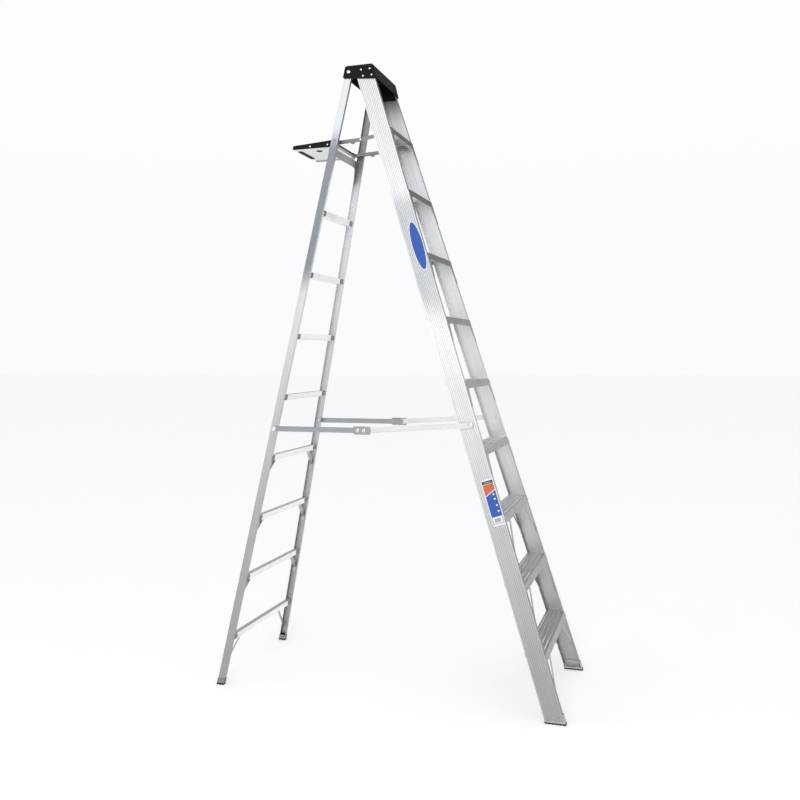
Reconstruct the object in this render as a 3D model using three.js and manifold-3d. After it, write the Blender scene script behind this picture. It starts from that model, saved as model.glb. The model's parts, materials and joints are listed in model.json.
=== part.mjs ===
// Ten-foot aluminium stepladder that folds: a stepped front section, a braced rear section that
// swings on two pins in a moulded top cap, two folding spreaders and a folding pail shelf.
// Millimetres, +Z up, +Y from the climbing side to the back, origin under the middle of the feet.
import * as THREE from 'three';
import { mergeVertices } from 'three/addons/utils/BufferGeometryUtils.js';
import Module from 'manifold-3d';

const wasm = await Module();
wasm.setup();

// Overall size
const STEP_PITCH = 304.8; // along the front rails
const STEP_COUNT = 9;
const FRONT_LEAN = THREE.MathUtils.degToRad(17.5);
const CAP_TOP = (STEP_COUNT + 1) * STEP_PITCH * Math.cos(FRONT_LEAN);
const FOOT_HALF_WIDTH = 354;
const TOP_HALF_WIDTH = 163;
const FRONT_FOOT_Y = -827; // front edge of the front rails at the floor
const REAR_FOOT_Y = 812; // middle of the rear rails at the floor
const HINGE = { y: 196, z: 2879 };
const GAP = 0.4; // clearance between touching pieces

// Rails
const FRONT_DEPTH = 84;
const FRONT_WEB = 2.4;
const FRONT_FLANGE = 27;
const FLANGE_THICK = 2.4;
const GROOVE_COUNT = 9;
const GROOVE_WIDTH = 2.6;
const GROOVE_DEPTH = 0.9;
const REAR_HALF_DEPTH = 17;
const REAR_WEB = 2;
const REAR_FLANGE = 19;
const RAIL_BOTTOM = 15.4;
const PAD_TOP = 6.6;
const REAR_BOOT_HEIGHT = 31;
const FRONT_RAIL_TOP = CAP_TOP - 6.6;
const REAR_RAIL_TOP = HINGE.z + 10;

// Steps
const SHEET = 2;
const TREAD_THICK = 2.4;
const FRONT_APRON = 31;
const REAR_APRON = 18;
const TREAD_RIBS = 4;
const RIB_HEIGHT = 2;
const BRACED_STEPS = 3;
const BRACE_DROP = 176; // from the tread to the brace's foot
const BRACE_HEAD_DROP = 26; // from the tread to the brace's top plate
const BRACE_REACH = 128;
const BRACE_FOOT = 18;

// Rear horizontals, measured at the middle of each bar
const FIRST_BAR_Z = 225;
const BAR_PITCH = 287.5;
const BAR_COUNT = 9;
const BAR_HALF_HEIGHT = 14;
const BAR_HALF_DEPTH = 13.4;
const REAR_BRACE_REACH = 140;
const REAR_BRACE_BACK = 6.2;

// Spreaders: the elbow and the rear pivot are a little lower than the front pivot
const SPREADER_FRONT_Z = 1262;
const SPREADER_REAR_Z = 1230;
const SPREADER_FRONT_V = 28; // pivot, behind the front edge of the front rail
const ELBOW_Y = 94;
const ELBOW_HALF_HEIGHT = 19;
const ELBOW_RIVET_PITCH = 31;
const ARM_HALF_HEIGHT = 12.5;
const ARM_THICK = 2.5;
const PIN_R = 4;

// Pail shelf
const SHELF_PIVOT_Z = 2568;
const SHELF_KNEE = { y: 150, z: 2574 };
const LINK_PIVOT = { y: 25, z: 2591 };
const SHELF_FRONT_Y = 285;
const SHELF_REAR_Y = 500;
const SHELF_FLOOR_Z = 2556;
const SHELF_HALF_WIDTH = 137.2;
const SHELF_ARM_HALF_HEIGHT = 9;
const HOOK_HOLE = { x: -60, y: 390, r: 11 };
const SHELF_LUG = { y: 188, z: SHELF_PIVOT_Z - 1, r: 12 };

// Top cap: its side plates leave room for the flared rear rails to swing past
const CAP_PLATE_IN = 0.9;
const CAP_PLATE_OUT = 4.8;
const CAP_FRONT_Y = 83;
const CAP_REAR_Y = 208;
const CAP_THICK = 6;
const CAP_SKIRT_BOTTOM = 2846;
const CAP_RIDGE_PITCH = 16;
const CAP_RIDGES = 3;

const metal = (color, roughness = 0.35) =>
  new THREE.MeshStandardMaterial({ color, roughness, metalness: 1 });
const plastic = (color, roughness = 0.5) =>
  new THREE.MeshStandardMaterial({ color, roughness, metalness: 0 });

const ladder = new THREE.Group();
const SIDES = { left: -1, right: 1 };

// Half of the outside width, the front edge of the front rails and the middle of the rear rails
const halfWidth = (z) => FOOT_HALF_WIDTH + ((TOP_HALF_WIDTH - FOOT_HALF_WIDTH) * z) / CAP_TOP;
const frontEdge = (z) => FRONT_FOOT_Y + z * Math.tan(FRONT_LEAN);
const rearMiddle = (z) => REAR_FOOT_Y + ((HINGE.y - REAR_FOOT_Y) * z) / HINGE.z;

// ---- solids -------------------------------------------------------------------------------

function toSolid(geometry) {
  const bare = geometry.clone();
  bare.deleteAttribute('normal');
  bare.deleteAttribute('uv');
  const merged = mergeVertices(bare, 1e-4);
  return new wasm.Manifold(new wasm.Mesh({
    numProp: 3,
    vertProperties: new Float32Array(merged.attributes.position.array),
    triVerts: new Uint32Array(merged.index.array),
  }));
}

function fromSolid(solid) {
  const { vertProperties, triVerts } = solid.getMesh();
  const geometry = new THREE.BufferGeometry();
  geometry.setAttribute('position', new THREE.BufferAttribute(new Float32Array(vertProperties), 3));
  geometry.setIndex(new THREE.BufferAttribute(new Uint32Array(triVerts), 1));
  return geometry;
}

const join = (...parts) =>
  fromSolid(parts.map(toSolid).reduce((whole, piece) => whole.add(piece)));
const cut = (body, ...tools) =>
  fromSolid(tools.map(toSolid).reduce((rest, tool) => rest.subtract(tool), toSolid(body)));

const outline = (points) => new THREE.Shape(points.map(([a, b]) => new THREE.Vector2(a, b)));

function extrude(shape, from, to, matrix) {
  const geometry = new THREE.ExtrudeGeometry(shape, {
    depth: to - from,
    bevelEnabled: false,
    curveSegments: 8,
  });
  return geometry.translate(0, 0, from).applyMatrix4(matrix);
}

// An outline in X and Y extruded up, in Y and Z extruded along X, in X and Z extruded along Y
const alongZ = (shape, from, to) => extrude(shape, from, to, new THREE.Matrix4());
const alongX = (shape, from, to) => extrude(shape, from, to,
  new THREE.Matrix4().makeBasis(
    new THREE.Vector3(0, 1, 0), new THREE.Vector3(0, 0, 1), new THREE.Vector3(1, 0, 0)));
const alongY = (shape, from, to) => extrude(shape, -to, -from,
  new THREE.Matrix4().makeRotationX(Math.PI / 2));

function box(x0, x1, y0, y1, z0, z1) {
  return new THREE.BoxGeometry(x1 - x0, y1 - y0, z1 - z0)
    .translate((x0 + x1) / 2, (y0 + y1) / 2, (z0 + z1) / 2);
}

// A turned piece with its axis along X: [distance along X, radius] from one end to the other
function turned(profile, y, z, segments = 16) {
  const first = [profile[0][0], 0];
  const last = [profile[profile.length - 1][0], 0];
  const points = [first, ...profile, last].map(([x, r]) => new THREE.Vector2(r, x));
  return new THREE.LatheGeometry(points, segments).rotateZ(-Math.PI / 2).translate(0, y, z);
}

const rod = (x0, x1, y, z, r, segments) => turned([[x0, r], [x1, r]], y, z, segments);

// ---- placing pieces -----------------------------------------------------------------------

// Moves every vertex by a rule that is linear in height, and keeps the faces pointing out
function reshape(geometry, rule, mirrored) {
  const moved = geometry.index ? geometry.toNonIndexed() : geometry.clone();
  const position = moved.attributes.position;
  for (let i = 0; i < position.count; i += 1) {
    position.setXYZ(i, ...rule(position.getX(i), position.getY(i), position.getZ(i)));
  }
  if (mirrored) {
    const { array } = position;
    for (let i = 0; i < array.length; i += 9) {
      for (let k = 0; k < 3; k += 1) {
        [array[i + 3 + k], array[i + 6 + k]] = [array[i + 6 + k], array[i + 3 + k]];
      }
    }
  }
  moved.deleteAttribute('normal');
  moved.deleteAttribute('uv');
  const merged = mergeVertices(moved, 1e-4);
  merged.computeVertexNormals();
  return merged;
}

// Welds a piece that is already in place
const welded = (geometry) => reshape(geometry, (x, y, z) => [x, y, z], false);

// Rail pieces are drawn with X inwards from the rail's outer face. Front ones have Y backwards
// from its front edge, rear ones have Y from its middle.
const onFrontRail = (geometry, side) => reshape(geometry,
  (x, y, z) => [side * (halfWidth(z) - x), frontEdge(z) + y, z], side > 0);
const onRearRail = (geometry, side) => reshape(geometry,
  (x, y, z) => [side * (halfWidth(z) - x), rearMiddle(z) + y, z], side > 0);
// Level pieces are drawn from X -1 to 1, and reach to a distance inside the rails' outer faces
const acrossRear = (geometry, inset) => reshape(geometry,
  (x, y, z) => [x * (halfWidth(z) - inset), rearMiddle(z) + y, z], false);
// Upright side pieces are drawn on the right and mirrored for the left
const onSide = (geometry, side) => reshape(geometry, (x, y, z) => [side * x, y, z], side < 0);

function add(name, geometry, material) {
  const mesh = new THREE.Mesh(geometry, material);
  mesh.name = name;
  ladder.add(mesh);
}

// Drills level holes along X through a placed piece
const drill = (geometry, holes) => welded(
  cut(geometry, ...holes.map(({ y, z, r }) => rod(-FOOT_HALF_WIDTH, FOOT_HALF_WIDTH, y, z, r))));

const bothSides = (build) => Object.entries(SIDES).forEach(([word, side]) => build(word, side));

// ---- outlines -----------------------------------------------------------------------------

function channel(y0, y1, web, flange, thick, grow = 0) {
  return [
    [-grow, y0 - grow], [flange + grow, y0 - grow], [flange + grow, y0 + thick + grow],
    [web + grow, y0 + thick + grow], [web + grow, y1 - thick - grow],
    [flange + grow, y1 - thick - grow], [flange + grow, y1 + grow], [-grow, y1 + grow],
  ];
}

// The front rail's section: the outer face carries shallow lengthwise grooves
function groovedChannel() {
  const points = channel(0, FRONT_DEPTH, FRONT_WEB, FRONT_FLANGE, FLANGE_THICK);
  const pitch = FRONT_DEPTH / (GROOVE_COUNT + 1);
  for (let i = GROOVE_COUNT; i >= 1; i -= 1) {
    const middle = i * pitch;
    const [low, high] = [middle - GROOVE_WIDTH / 2, middle + GROOVE_WIDTH / 2];
    points.push([0, high], [GROOVE_DEPTH, high - 0.6], [GROOVE_DEPTH, low + 0.6], [0, low]);
  }
  return outline(points);
}

// A flat bar from one pivot to the other, with round ends
function barOutline(a, b, half) {
  const direction = new THREE.Vector2(b.y - a.y, b.z - a.z);
  const turn = direction.angle();
  const shape = new THREE.Shape();
  shape.absarc(a.y, a.z, half, turn + Math.PI / 2, turn + Math.PI * 1.5, false);
  shape.absarc(b.y, b.z, half, turn - Math.PI / 2, turn + Math.PI / 2, false);
  return shape;
}

// ---- front section ------------------------------------------------------------------------

const spreaderFront = { y: frontEdge(SPREADER_FRONT_Z) + SPREADER_FRONT_V, z: SPREADER_FRONT_Z };
const spreaderRear = { y: rearMiddle(SPREADER_REAR_Z), z: SPREADER_REAR_Z };
const elbow = { y: ELBOW_Y, z: SPREADER_REAR_Z };
const shelfPivot = { y: rearMiddle(SHELF_PIVOT_Z), z: SHELF_PIVOT_Z };

function frontRail(side) {
  const body = onFrontRail(alongZ(groovedChannel(), RAIL_BOTTOM, FRONT_RAIL_TOP), side);
  return drill(body, [{ ...spreaderFront, r: PIN_R + 0.3 }]);
}

function stepSection(z) {
  const front = -GAP;
  const back = FRONT_DEPTH + GAP;
  const points = [
    [front - SHEET, z - FRONT_APRON], [front, z - FRONT_APRON], [front, z - TREAD_THICK],
    [back, z - TREAD_THICK], [back, z - REAR_APRON], [back + SHEET, z - REAR_APRON],
    [back + SHEET, z],
  ];
  const pitch = FRONT_DEPTH / TREAD_RIBS;
  for (let i = TREAD_RIBS - 1; i >= 0; i -= 1) {
    const middle = (i + 0.5) * pitch;
    points.push([middle + 5, z], [middle + 3, z + RIB_HEIGHT]);
    points.push([middle - 3, z + RIB_HEIGHT], [middle - 5, z]);
  }
  points.push([front - SHEET, z]);
  return outline(points);
}

function step(z) {
  // Drawn level and sheared by the rails' lean, with its corners notched round both rails
  const leanBack = (zz) => frontEdge(zz) - frontEdge(z);
  const blank = reshape(alongX(stepSection(z), -1, 1), (x, y, zz) => {
    const drop = zz < z - TREAD_THICK ? leanBack(zz) : 0;
    return [x * (halfWidth(zz) - 1), frontEdge(z) + y + drop, zz];
  }, false);
  const notch = [...channel(0, FRONT_DEPTH, FRONT_WEB, FRONT_FLANGE, FLANGE_THICK, GAP - 0.05)];
  notch[0] = [-6, notch[0][1]];
  notch[7] = [-6, notch[7][1]];
  const reach = FRONT_APRON + 20;
  const tools = [-1, 1].map((side) =>
    onFrontRail(alongZ(outline(notch), z - reach, z + reach), side));
  return welded(cut(blank, ...tools));
}

// A bent strap under each end of a low step: two diagonals under one top plate
function kneeBrace(z, side) {
  const inner = FLANGE_THICK + 0.5;
  const outer = FRONT_DEPTH - FLANGE_THICK - 0.5;
  const root = FRONT_WEB + 0.5;
  const foot = z - BRACE_DROP;
  const head = z - BRACE_HEAD_DROP;
  const strap = outline([
    [root, foot], [root, foot - BRACE_FOOT], [root + 12.5, foot - BRACE_FOOT],
    [BRACE_REACH, head - 8], [BRACE_REACH, head], [BRACE_REACH - 22, head], [root + 6.5, foot + 6],
  ]);
  const [start, end] = [inner + 0.5, outer - 0.5];
  return onFrontRail(join(
    alongY(strap, inner, inner + SHEET),
    alongY(strap, outer - SHEET, outer),
    box(BRACE_REACH - 20, BRACE_REACH - 1, start, end, head - SHEET, head),
  ), side);
}

// A shoe has a sole plate, a lip up the rail's front, a wall against its web and two inner walls
function shoe(side) {
  const [sole, floor] = [PAD_TOP + GAP, RAIL_BOTTOM - GAP];
  return onFrontRail(join(
    box(-1.5, 29.5, -3, FRONT_DEPTH + 2, sole, floor),
    box(-1.5, 29.5, -3, -0.5, floor - 1, 44),
    box(FRONT_WEB + 0.5, FRONT_WEB + 4, 6, FRONT_DEPTH - 6, floor - 1, 42),
    box(FRONT_WEB + 2, FRONT_FLANGE, 6, 9, floor - 1, 30),
    box(FRONT_WEB + 2, FRONT_FLANGE, FRONT_DEPTH - 9, FRONT_DEPTH - 6, floor - 1, 30),
  ), side);
}

function shoePad(side) {
  const grooves = [12, 28, 44, 60, 76].map((y) => box(-10, 40, y - 2.5, y + 2.5, -1, 2));
  return onFrontRail(cut(box(-2.5, 30.5, -4, FRONT_DEPTH + 2.5, 0, PAD_TOP), ...grooves), side);
}

function capSide(side) {
  const plate = outline([
    [61, 2839], [76, CAP_TOP - 5], [83, CAP_TOP], [208, CAP_TOP], [214, CAP_TOP - 6],
    [223, 2856], [219, 2851], [66, 2837],
  ]);
  const hole = rod(-8, 4, HINGE.y, HINGE.z, PIN_R + 1.3);
  return reshape(cut(alongX(plate, -CAP_PLATE_OUT, -CAP_PLATE_IN), hole),
    (x, y, z) => [side * (halfWidth(z) - x), y, z], side > 0);
}

function topCap() {
  const outerHalf = halfWidth(CAP_TOP) + CAP_PLATE_OUT - GAP;
  const rimHalf = outerHalf - 12;
  const underTop = CAP_TOP - CAP_THICK;
  const top = box(-outerHalf, outerHalf, CAP_FRONT_Y, CAP_REAR_Y, underTop, CAP_TOP);
  const skirt = [
    [-8.6, CAP_TOP - 1], [-1, CAP_TOP - 1], [-1, underTop], [-3.4, underTop - 1],
    [-3.4, CAP_SKIRT_BOTTOM], [-6.4, CAP_SKIRT_BOTTOM],
  ];
  for (let i = 0; i < CAP_RIDGES; i += 1) {
    const z = CAP_SKIRT_BOTTOM + 10 + i * CAP_RIDGE_PITCH;
    skirt.push([-6.4, z], [-8.4, z + 2], [-8.4, z + 8], [-6.4, z + 10]);
  }
  const frontSkirt = reshape(alongX(outline(skirt), -1, 1),
    (x, y, z) => [x * (halfWidth(z) + 3), frontEdge(z) + y, z], false);
  const rearWeb = box(-135, 135, CAP_REAR_Y - 5, CAP_REAR_Y, 2850, underTop + 3);
  const middleRib = box(-2, 2, CAP_FRONT_Y + 5, CAP_REAR_Y - 3, 2868, underTop + 3);
  const wings = [-1, 1].map((side) => onFrontRail(
    box(FRONT_WEB + 0.5, FRONT_WEB + 4, 6, 78, 2826, underTop + 4), side));
  const whole = join(top, frontSkirt, rearWeb, middleRib, ...wings, capSide(-1), capSide(1));
  const tray = box(-rimHalf, rimHalf, CAP_FRONT_Y + 9, CAP_REAR_Y - 10, CAP_TOP - 2.5, CAP_TOP + 5);
  return welded(cut(whole, tray));
}

// A pin from the cap's side plate through the rear rail's web
function capPin(side) {
  const face = halfWidth(HINGE.z);
  return onSide(turned([
    [face - 9, PIN_R + 3], [face - 4.6, PIN_R + 3], [face - 4.6, PIN_R + 1],
    [face + 5.5, PIN_R + 1], [face + 5.5, PIN_R + 4], [face + 6.9, PIN_R + 3.6],
    [face + 8.1, PIN_R],
  ], HINGE.y, HINGE.z, 20), side);
}

// ---- rear section -------------------------------------------------------------------------

function rearRail(side) {
  const section = outline(
    channel(-REAR_HALF_DEPTH, REAR_HALF_DEPTH, REAR_WEB, REAR_FLANGE, REAR_WEB));
  return drill(onRearRail(alongZ(section, RAIL_BOTTOM - 4, REAR_RAIL_TOP), side), [
    { ...HINGE, r: PIN_R + 1.3 },
    { ...spreaderRear, r: PIN_R + 0.3 },
    { ...shelfPivot, r: PIN_R + 0.3 },
  ]);
}

// A channel between the rear rails, with its web forwards and its ends inside the rails
function rearBar(z) {
  const [low, high] = [z - BAR_HALF_HEIGHT, z + BAR_HALF_HEIGHT];
  const [front, back] = [-BAR_HALF_DEPTH, BAR_HALF_DEPTH];
  return acrossRear(alongX(outline([
    [front, low], [back, low], [back, low + 2], [front + 2, low + 2],
    [front + 2, high - 2], [back, high - 2], [back, high], [front, high],
  ]), -1, 1), REAR_WEB + GAP);
}

// The highest bar is a plate at the back of the rails, with a gusset down each rail
function shelfBar(z) {
  const [low, high] = [z - 15, z + 17];
  const [front, back] = [10.6, 13.6];
  const plate = acrossRear(alongX(outline([
    [front, low], [back, low], [back, high], [front, high],
  ]), -1, 1), REAR_WEB + GAP);
  const gusset = outline([
    [REAR_WEB + GAP, low + 1], [REAR_WEB + GAP, z - 88], [22, z - 88], [34, z - 40],
    [42, z - 18], [88, low + 1],
  ]);
  const gussets = [-1, 1].map((side) => onRearRail(alongY(gusset, front, back), side));
  return welded(join(plate, ...gussets));
}

function rearFoot(side) {
  const wall = 1.8;
  const boot = box(-wall, REAR_FLANGE + wall, -REAR_HALF_DEPTH - wall, REAR_HALF_DEPTH + wall,
    0, REAR_BOOT_HEIGHT);
  const socket = channel(-REAR_HALF_DEPTH, REAR_HALF_DEPTH, REAR_WEB, REAR_FLANGE, REAR_WEB, GAP);
  const tool = alongZ(outline(socket), RAIL_BOTTOM - 4 - GAP, 40);
  const grooves = [-9, 9].map((y) => box(-5, 35, y - 2, y + 2, -1, 2.5));
  return onRearRail(cut(boot, tool, ...grooves), side);
}

// A bent strap from under the lowest bar down to the rail's web, with a flat tab at each end
function rearBrace(side) {
  const root = REAR_WEB + GAP;
  const head = FIRST_BAR_Z - BAR_HALF_HEIGHT - GAP;
  const [front, back] = [REAR_BRACE_BACK - REAR_WEB - GAP, REAR_BRACE_BACK];
  const strap = outline([
    [root, 80], [root, 66], [root + 7, 66], [REAR_BRACE_REACH, head],
    [REAR_BRACE_REACH - 19, head],
  ]);
  return onRearRail(join(
    alongY(strap, front, back),
    box(root, root + 2.4, -REAR_BRACE_BACK, back, 64, 92),
    box(REAR_BRACE_REACH - 24, REAR_BRACE_REACH + 2, -REAR_BRACE_BACK, back, head - 2.4, head),
  ), side);
}

// ---- spreaders ----------------------------------------------------------------------------

const spreaderFace = halfWidth(SPREADER_REAR_Z);
const REAR_ARM_OUT = 2.5;
const FRONT_ARM_OUT = REAR_ARM_OUT + ARM_THICK + 0.5;
const ELBOW_PLATE_OUT = FRONT_ARM_OUT + ARM_THICK + 0.4;

function spreaderArm(from, to, out, side) {
  const flat = alongX(barOutline(from, to, ARM_HALF_HEIGHT), 0, ARM_THICK);
  const hole = rod(-5, 12, from.y, from.z, PIN_R + 0.3);
  return onSide(cut(flat, hole).translate(spreaderFace + out, 0, 0), side);
}

// The elbow plate is fixed to the end of the front arm, and the rear arm's end turns behind both
function elbowPlate(side) {
  const [low, high] = [elbow.z - ELBOW_HALF_HEIGHT, elbow.z + ELBOW_HALF_HEIGHT];
  const [front, back] = [ELBOW_Y - 31, ELBOW_Y + 50];
  const plate = alongX(outline([
    [front + 4, low], [back - 4, low], [back, low + 4], [back, high - 4],
    [back - 4, high], [front + 4, high], [front, high - 4], [front, low + 4],
  ]), ELBOW_PLATE_OUT, ELBOW_PLATE_OUT + 2.4);
  const heads = [0, ELBOW_RIVET_PITCH].map((dy) => turned([
    [ELBOW_PLATE_OUT + 1, 6.5], [ELBOW_PLATE_OUT + 3.4, 6.5], [ELBOW_PLATE_OUT + 4.8, 4],
  ], ELBOW_Y + dy, elbow.z, 14));
  return onSide(join(plate, ...heads).translate(spreaderFace, 0, 0), side);
}

// A shouldered rivet through a rail's web and one end of a spreader arm
function spreaderPin(pivot, armOut, web, side) {
  const face = halfWidth(pivot.z);
  const inside = spreaderFace - face + armOut;
  const outside = inside + ARM_THICK;
  const profile = [
    [-web - 3.4, PIN_R + 1], [-web - 0.9, PIN_R + 2], [-web - 0.9, PIN_R], [1.2, PIN_R],
    [1.2, PIN_R + 4.5], [inside - 0.3, PIN_R + 4.5], [inside - 0.3, PIN_R],
    [outside + 0.3, PIN_R], [outside + 0.3, PIN_R + 3.5],
    [outside + 2, PIN_R + 2.8], [outside + 2.8, PIN_R - 1],
  ];
  return onSide(turned(profile.map(([x, r]) => [face + x, r]), pivot.y, pivot.z), side);
}

// ---- pail shelf ---------------------------------------------------------------------------

// A pressed tray with a rim that turns down, a grip slot at the back and a hook hole
function shelfTray() {
  const half = SHELF_HALF_WIDTH;
  const [front, back] = [SHELF_FRONT_Y, SHELF_REAR_Y];
  const rim = (inset) => [
    [-half + inset, front + inset], [half - inset, front + inset],
    [half - inset, back - 26], [half - 22, back - inset],
    [-half + 22, back - inset], [-half + inset, back - 26],
  ];
  const blank = alongZ(outline(rim(0)), SHELF_FLOOR_Z, SHELF_FLOOR_Z + 18);
  const hollow = alongZ(outline(rim(2.4)), SHELF_FLOOR_Z + 2.4, SHELF_FLOOR_Z + 30);
  const slot = box(-80, 80, back - 24, back - 10, SHELF_FLOOR_Z - 5, SHELF_FLOOR_Z + 10);
  const hookHole = new THREE.CylinderGeometry(HOOK_HOLE.r, HOOK_HOLE.r, 20, 24)
    .rotateX(Math.PI / 2).translate(HOOK_HOLE.x, HOOK_HOLE.y, SHELF_FLOOR_Z);
  return welded(cut(blank, hollow, slot, hookHole));
}

const SHELF_ARM_IN = SHELF_HALF_WIDTH + 0.4;
const SHELF_TRIM_IN = SHELF_ARM_IN + 3.4;

// The side arm runs from the shelf past its pivot on the rear rail to the knee
function shelfArm(side) {
  const tail = { y: SHELF_FRONT_Y + 60, z: SHELF_PIVOT_Z };
  const front = alongX(barOutline(SHELF_KNEE, shelfPivot, SHELF_ARM_HALF_HEIGHT), 0, 3);
  const back = alongX(barOutline(shelfPivot, tail, SHELF_ARM_HALF_HEIGHT), 0, 3);
  const lug = rod(0, 3, SHELF_LUG.y, SHELF_LUG.z, SHELF_LUG.r, 20);
  const hole = rod(-4, 8, shelfPivot.y, shelfPivot.z, PIN_R + 0.3);
  return onSide(cut(join(front, back, lug), hole).translate(SHELF_ARM_IN, 0, 0), side);
}

function shelfSideTrim(side) {
  const [front, back] = [SHELF_FRONT_Y, SHELF_REAR_Y - 8];
  return onSide(alongX(outline([
    [front, 2551], [back - 2, 2551], [back, 2554], [back, 2566], [back - 4, 2569],
    [front + 4, 2583], [front, 2580],
  ]), SHELF_TRIM_IN, SHELF_TRIM_IN + 2.4), side);
}

function shelfFrontTrim() {
  const half = SHELF_HALF_WIDTH;
  const [front, z] = [SHELF_FRONT_Y - 0.4, SHELF_FLOOR_Z];
  return welded(alongX(outline([
    [front - 2.4, z + 14], [front, z + 14], [front, z + 18.4], [front + 5, z + 18.4],
    [front + 5, z + 20.4], [front - 2.4, z + 20.4],
  ]), -half, half));
}

function shelfPin(side) {
  const face = halfWidth(SHELF_PIVOT_Z);
  return onSide(turned([
    [SHELF_ARM_IN - 2.6, PIN_R], [SHELF_ARM_IN - 1.6, PIN_R + 3], [SHELF_ARM_IN - 0.4, PIN_R + 3],
    [SHELF_ARM_IN - 0.4, PIN_R], [SHELF_ARM_IN + 3.4, PIN_R], [SHELF_ARM_IN + 3.4, PIN_R + 3],
    [face - REAR_WEB - 0.8, PIN_R + 3], [face - REAR_WEB - 0.8, PIN_R], [face + 0.8, PIN_R],
    [face + 0.8, PIN_R + 3.5], [face + 2.2, PIN_R + 2],
  ], shelfPivot.y, shelfPivot.z), side);
}

// The link turns on a long stud inside the front rail and meets the arm at the knee
function shelfLink(side) {
  const inside = SHELF_ARM_IN + 3.4;
  const flat = alongX(barOutline(LINK_PIVOT, SHELF_KNEE, SHELF_ARM_HALF_HEIGHT - 0.5), 0, 2.6);
  const stud = rod(1, halfWidth(LINK_PIVOT.z) - FRONT_WEB - 0.8 - inside,
    LINK_PIVOT.y, LINK_PIVOT.z, PIN_R + 1);
  const head = turned([[1, 6], [4, 6], [5.4, 3]], SHELF_KNEE.y, SHELF_KNEE.z);
  return onSide(join(flat, stud, head).translate(inside, 0, 0), side);
}

// ---- assembly -----------------------------------------------------------------------------

bothSides((word, side) => {
  add(`front_rail_${word}`, frontRail(side), metal(0xb9bcc0));
  add(`front_shoe_${word}`, shoe(side), metal(0xa6aaad, 0.5));
  add(`front_shoe_pad_${word}`, shoePad(side), plastic(0x3a3c3e, 0.85));
});
for (let i = 1; i <= STEP_COUNT; i += 1) {
  const z = i * STEP_PITCH * Math.cos(FRONT_LEAN);
  add(`step_${i}`, step(z), metal(0xc4c7ca, 0.3));
  if (i <= BRACED_STEPS) {
    bothSides((word, side) => add(`knee_brace_${i}_${word}`, kneeBrace(z, side), metal(0x9fa2a5)));
  }
}
add('top_cap', topCap(), plastic(0x17181a));
bothSides((word, side) => add(`cap_pin_${word}`, capPin(side), metal(0xd5d7d9, 0.25)));

bothSides((word, side) => add(`rear_rail_${word}`, rearRail(side), metal(0xa9adb2)));
for (let i = 1; i <= BAR_COUNT; i += 1) {
  const z = FIRST_BAR_Z + (i - 1) * BAR_PITCH;
  add(`rear_bar_${i}`, i === BAR_COUNT ? shelfBar(z) : rearBar(z), metal(0xc9ccd0));
}
bothSides((word, side) => {
  add(`rear_brace_${word}`, rearBrace(side), metal(0x96999c));
  add(`rear_foot_${word}`, rearFoot(side), plastic(0x2f3133, 0.9));
  add(`shelf_pin_${word}`, shelfPin(side), metal(0xd5d7d9, 0.25));
});

bothSides((word, side) => {
  add(`spreader_front_arm_${word}`, spreaderArm(spreaderFront, elbow, FRONT_ARM_OUT, side),
    metal(0xc2c5c8));
  add(`spreader_rear_arm_${word}`, spreaderArm(spreaderRear, elbow, REAR_ARM_OUT, side),
    metal(0x9ba0a8));
  add(`spreader_elbow_${word}`, elbowPlate(side), metal(0xaeb1b4));
  add(`spreader_front_pin_${word}`,
    spreaderPin(spreaderFront, FRONT_ARM_OUT, FRONT_WEB, side), metal(0xd5d7d9, 0.25));
  add(`spreader_rear_pin_${word}`,
    spreaderPin(spreaderRear, REAR_ARM_OUT, REAR_WEB, side), metal(0xd5d7d9, 0.25));
});

add('shelf_tray', shelfTray(), metal(0xdadce0, 0.45));
add('shelf_front_trim', shelfFrontTrim(), plastic(0x1b1c1e));
bothSides((word, side) => {
  add(`shelf_arm_${word}`, shelfArm(side), metal(0xa3a7aa));
  add(`shelf_side_trim_${word}`, shelfSideTrim(side), plastic(0x1b1c1e));
  add(`shelf_link_${word}`, shelfLink(side), metal(0x8f9396));
});

export default ladder;
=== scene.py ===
import json
import math

import bmesh
import bpy
from mathutils import Matrix, Vector

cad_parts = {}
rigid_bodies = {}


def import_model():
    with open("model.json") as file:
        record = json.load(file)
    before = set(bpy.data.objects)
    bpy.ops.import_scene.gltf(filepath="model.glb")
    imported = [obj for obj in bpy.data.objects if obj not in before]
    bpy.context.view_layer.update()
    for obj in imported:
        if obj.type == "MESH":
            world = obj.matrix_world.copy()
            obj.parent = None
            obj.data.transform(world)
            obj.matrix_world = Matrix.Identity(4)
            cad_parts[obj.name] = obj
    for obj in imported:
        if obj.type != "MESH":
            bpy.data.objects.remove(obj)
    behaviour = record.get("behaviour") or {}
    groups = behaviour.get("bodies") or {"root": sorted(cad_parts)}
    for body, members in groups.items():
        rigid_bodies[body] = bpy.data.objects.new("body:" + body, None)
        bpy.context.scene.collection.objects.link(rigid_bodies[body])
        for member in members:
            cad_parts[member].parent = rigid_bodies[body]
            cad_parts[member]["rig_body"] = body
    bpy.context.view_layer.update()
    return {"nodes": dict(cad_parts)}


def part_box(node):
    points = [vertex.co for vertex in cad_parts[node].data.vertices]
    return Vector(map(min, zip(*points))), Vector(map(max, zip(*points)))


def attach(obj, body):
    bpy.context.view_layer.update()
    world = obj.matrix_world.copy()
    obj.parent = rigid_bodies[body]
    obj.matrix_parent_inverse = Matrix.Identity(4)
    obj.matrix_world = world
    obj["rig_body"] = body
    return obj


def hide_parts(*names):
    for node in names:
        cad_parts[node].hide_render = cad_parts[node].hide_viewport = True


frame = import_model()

MM = 0.001
SIDES = {"left": -1, "right": 1}
NODES = frame["nodes"]
STEP_COUNT = 9
BAR_COUNT = 9
BRACED_STEPS = 3
BRACED_BARS = 4

# ---- sections of the rails and bars, and placement rules read from the frame ------------------

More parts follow.
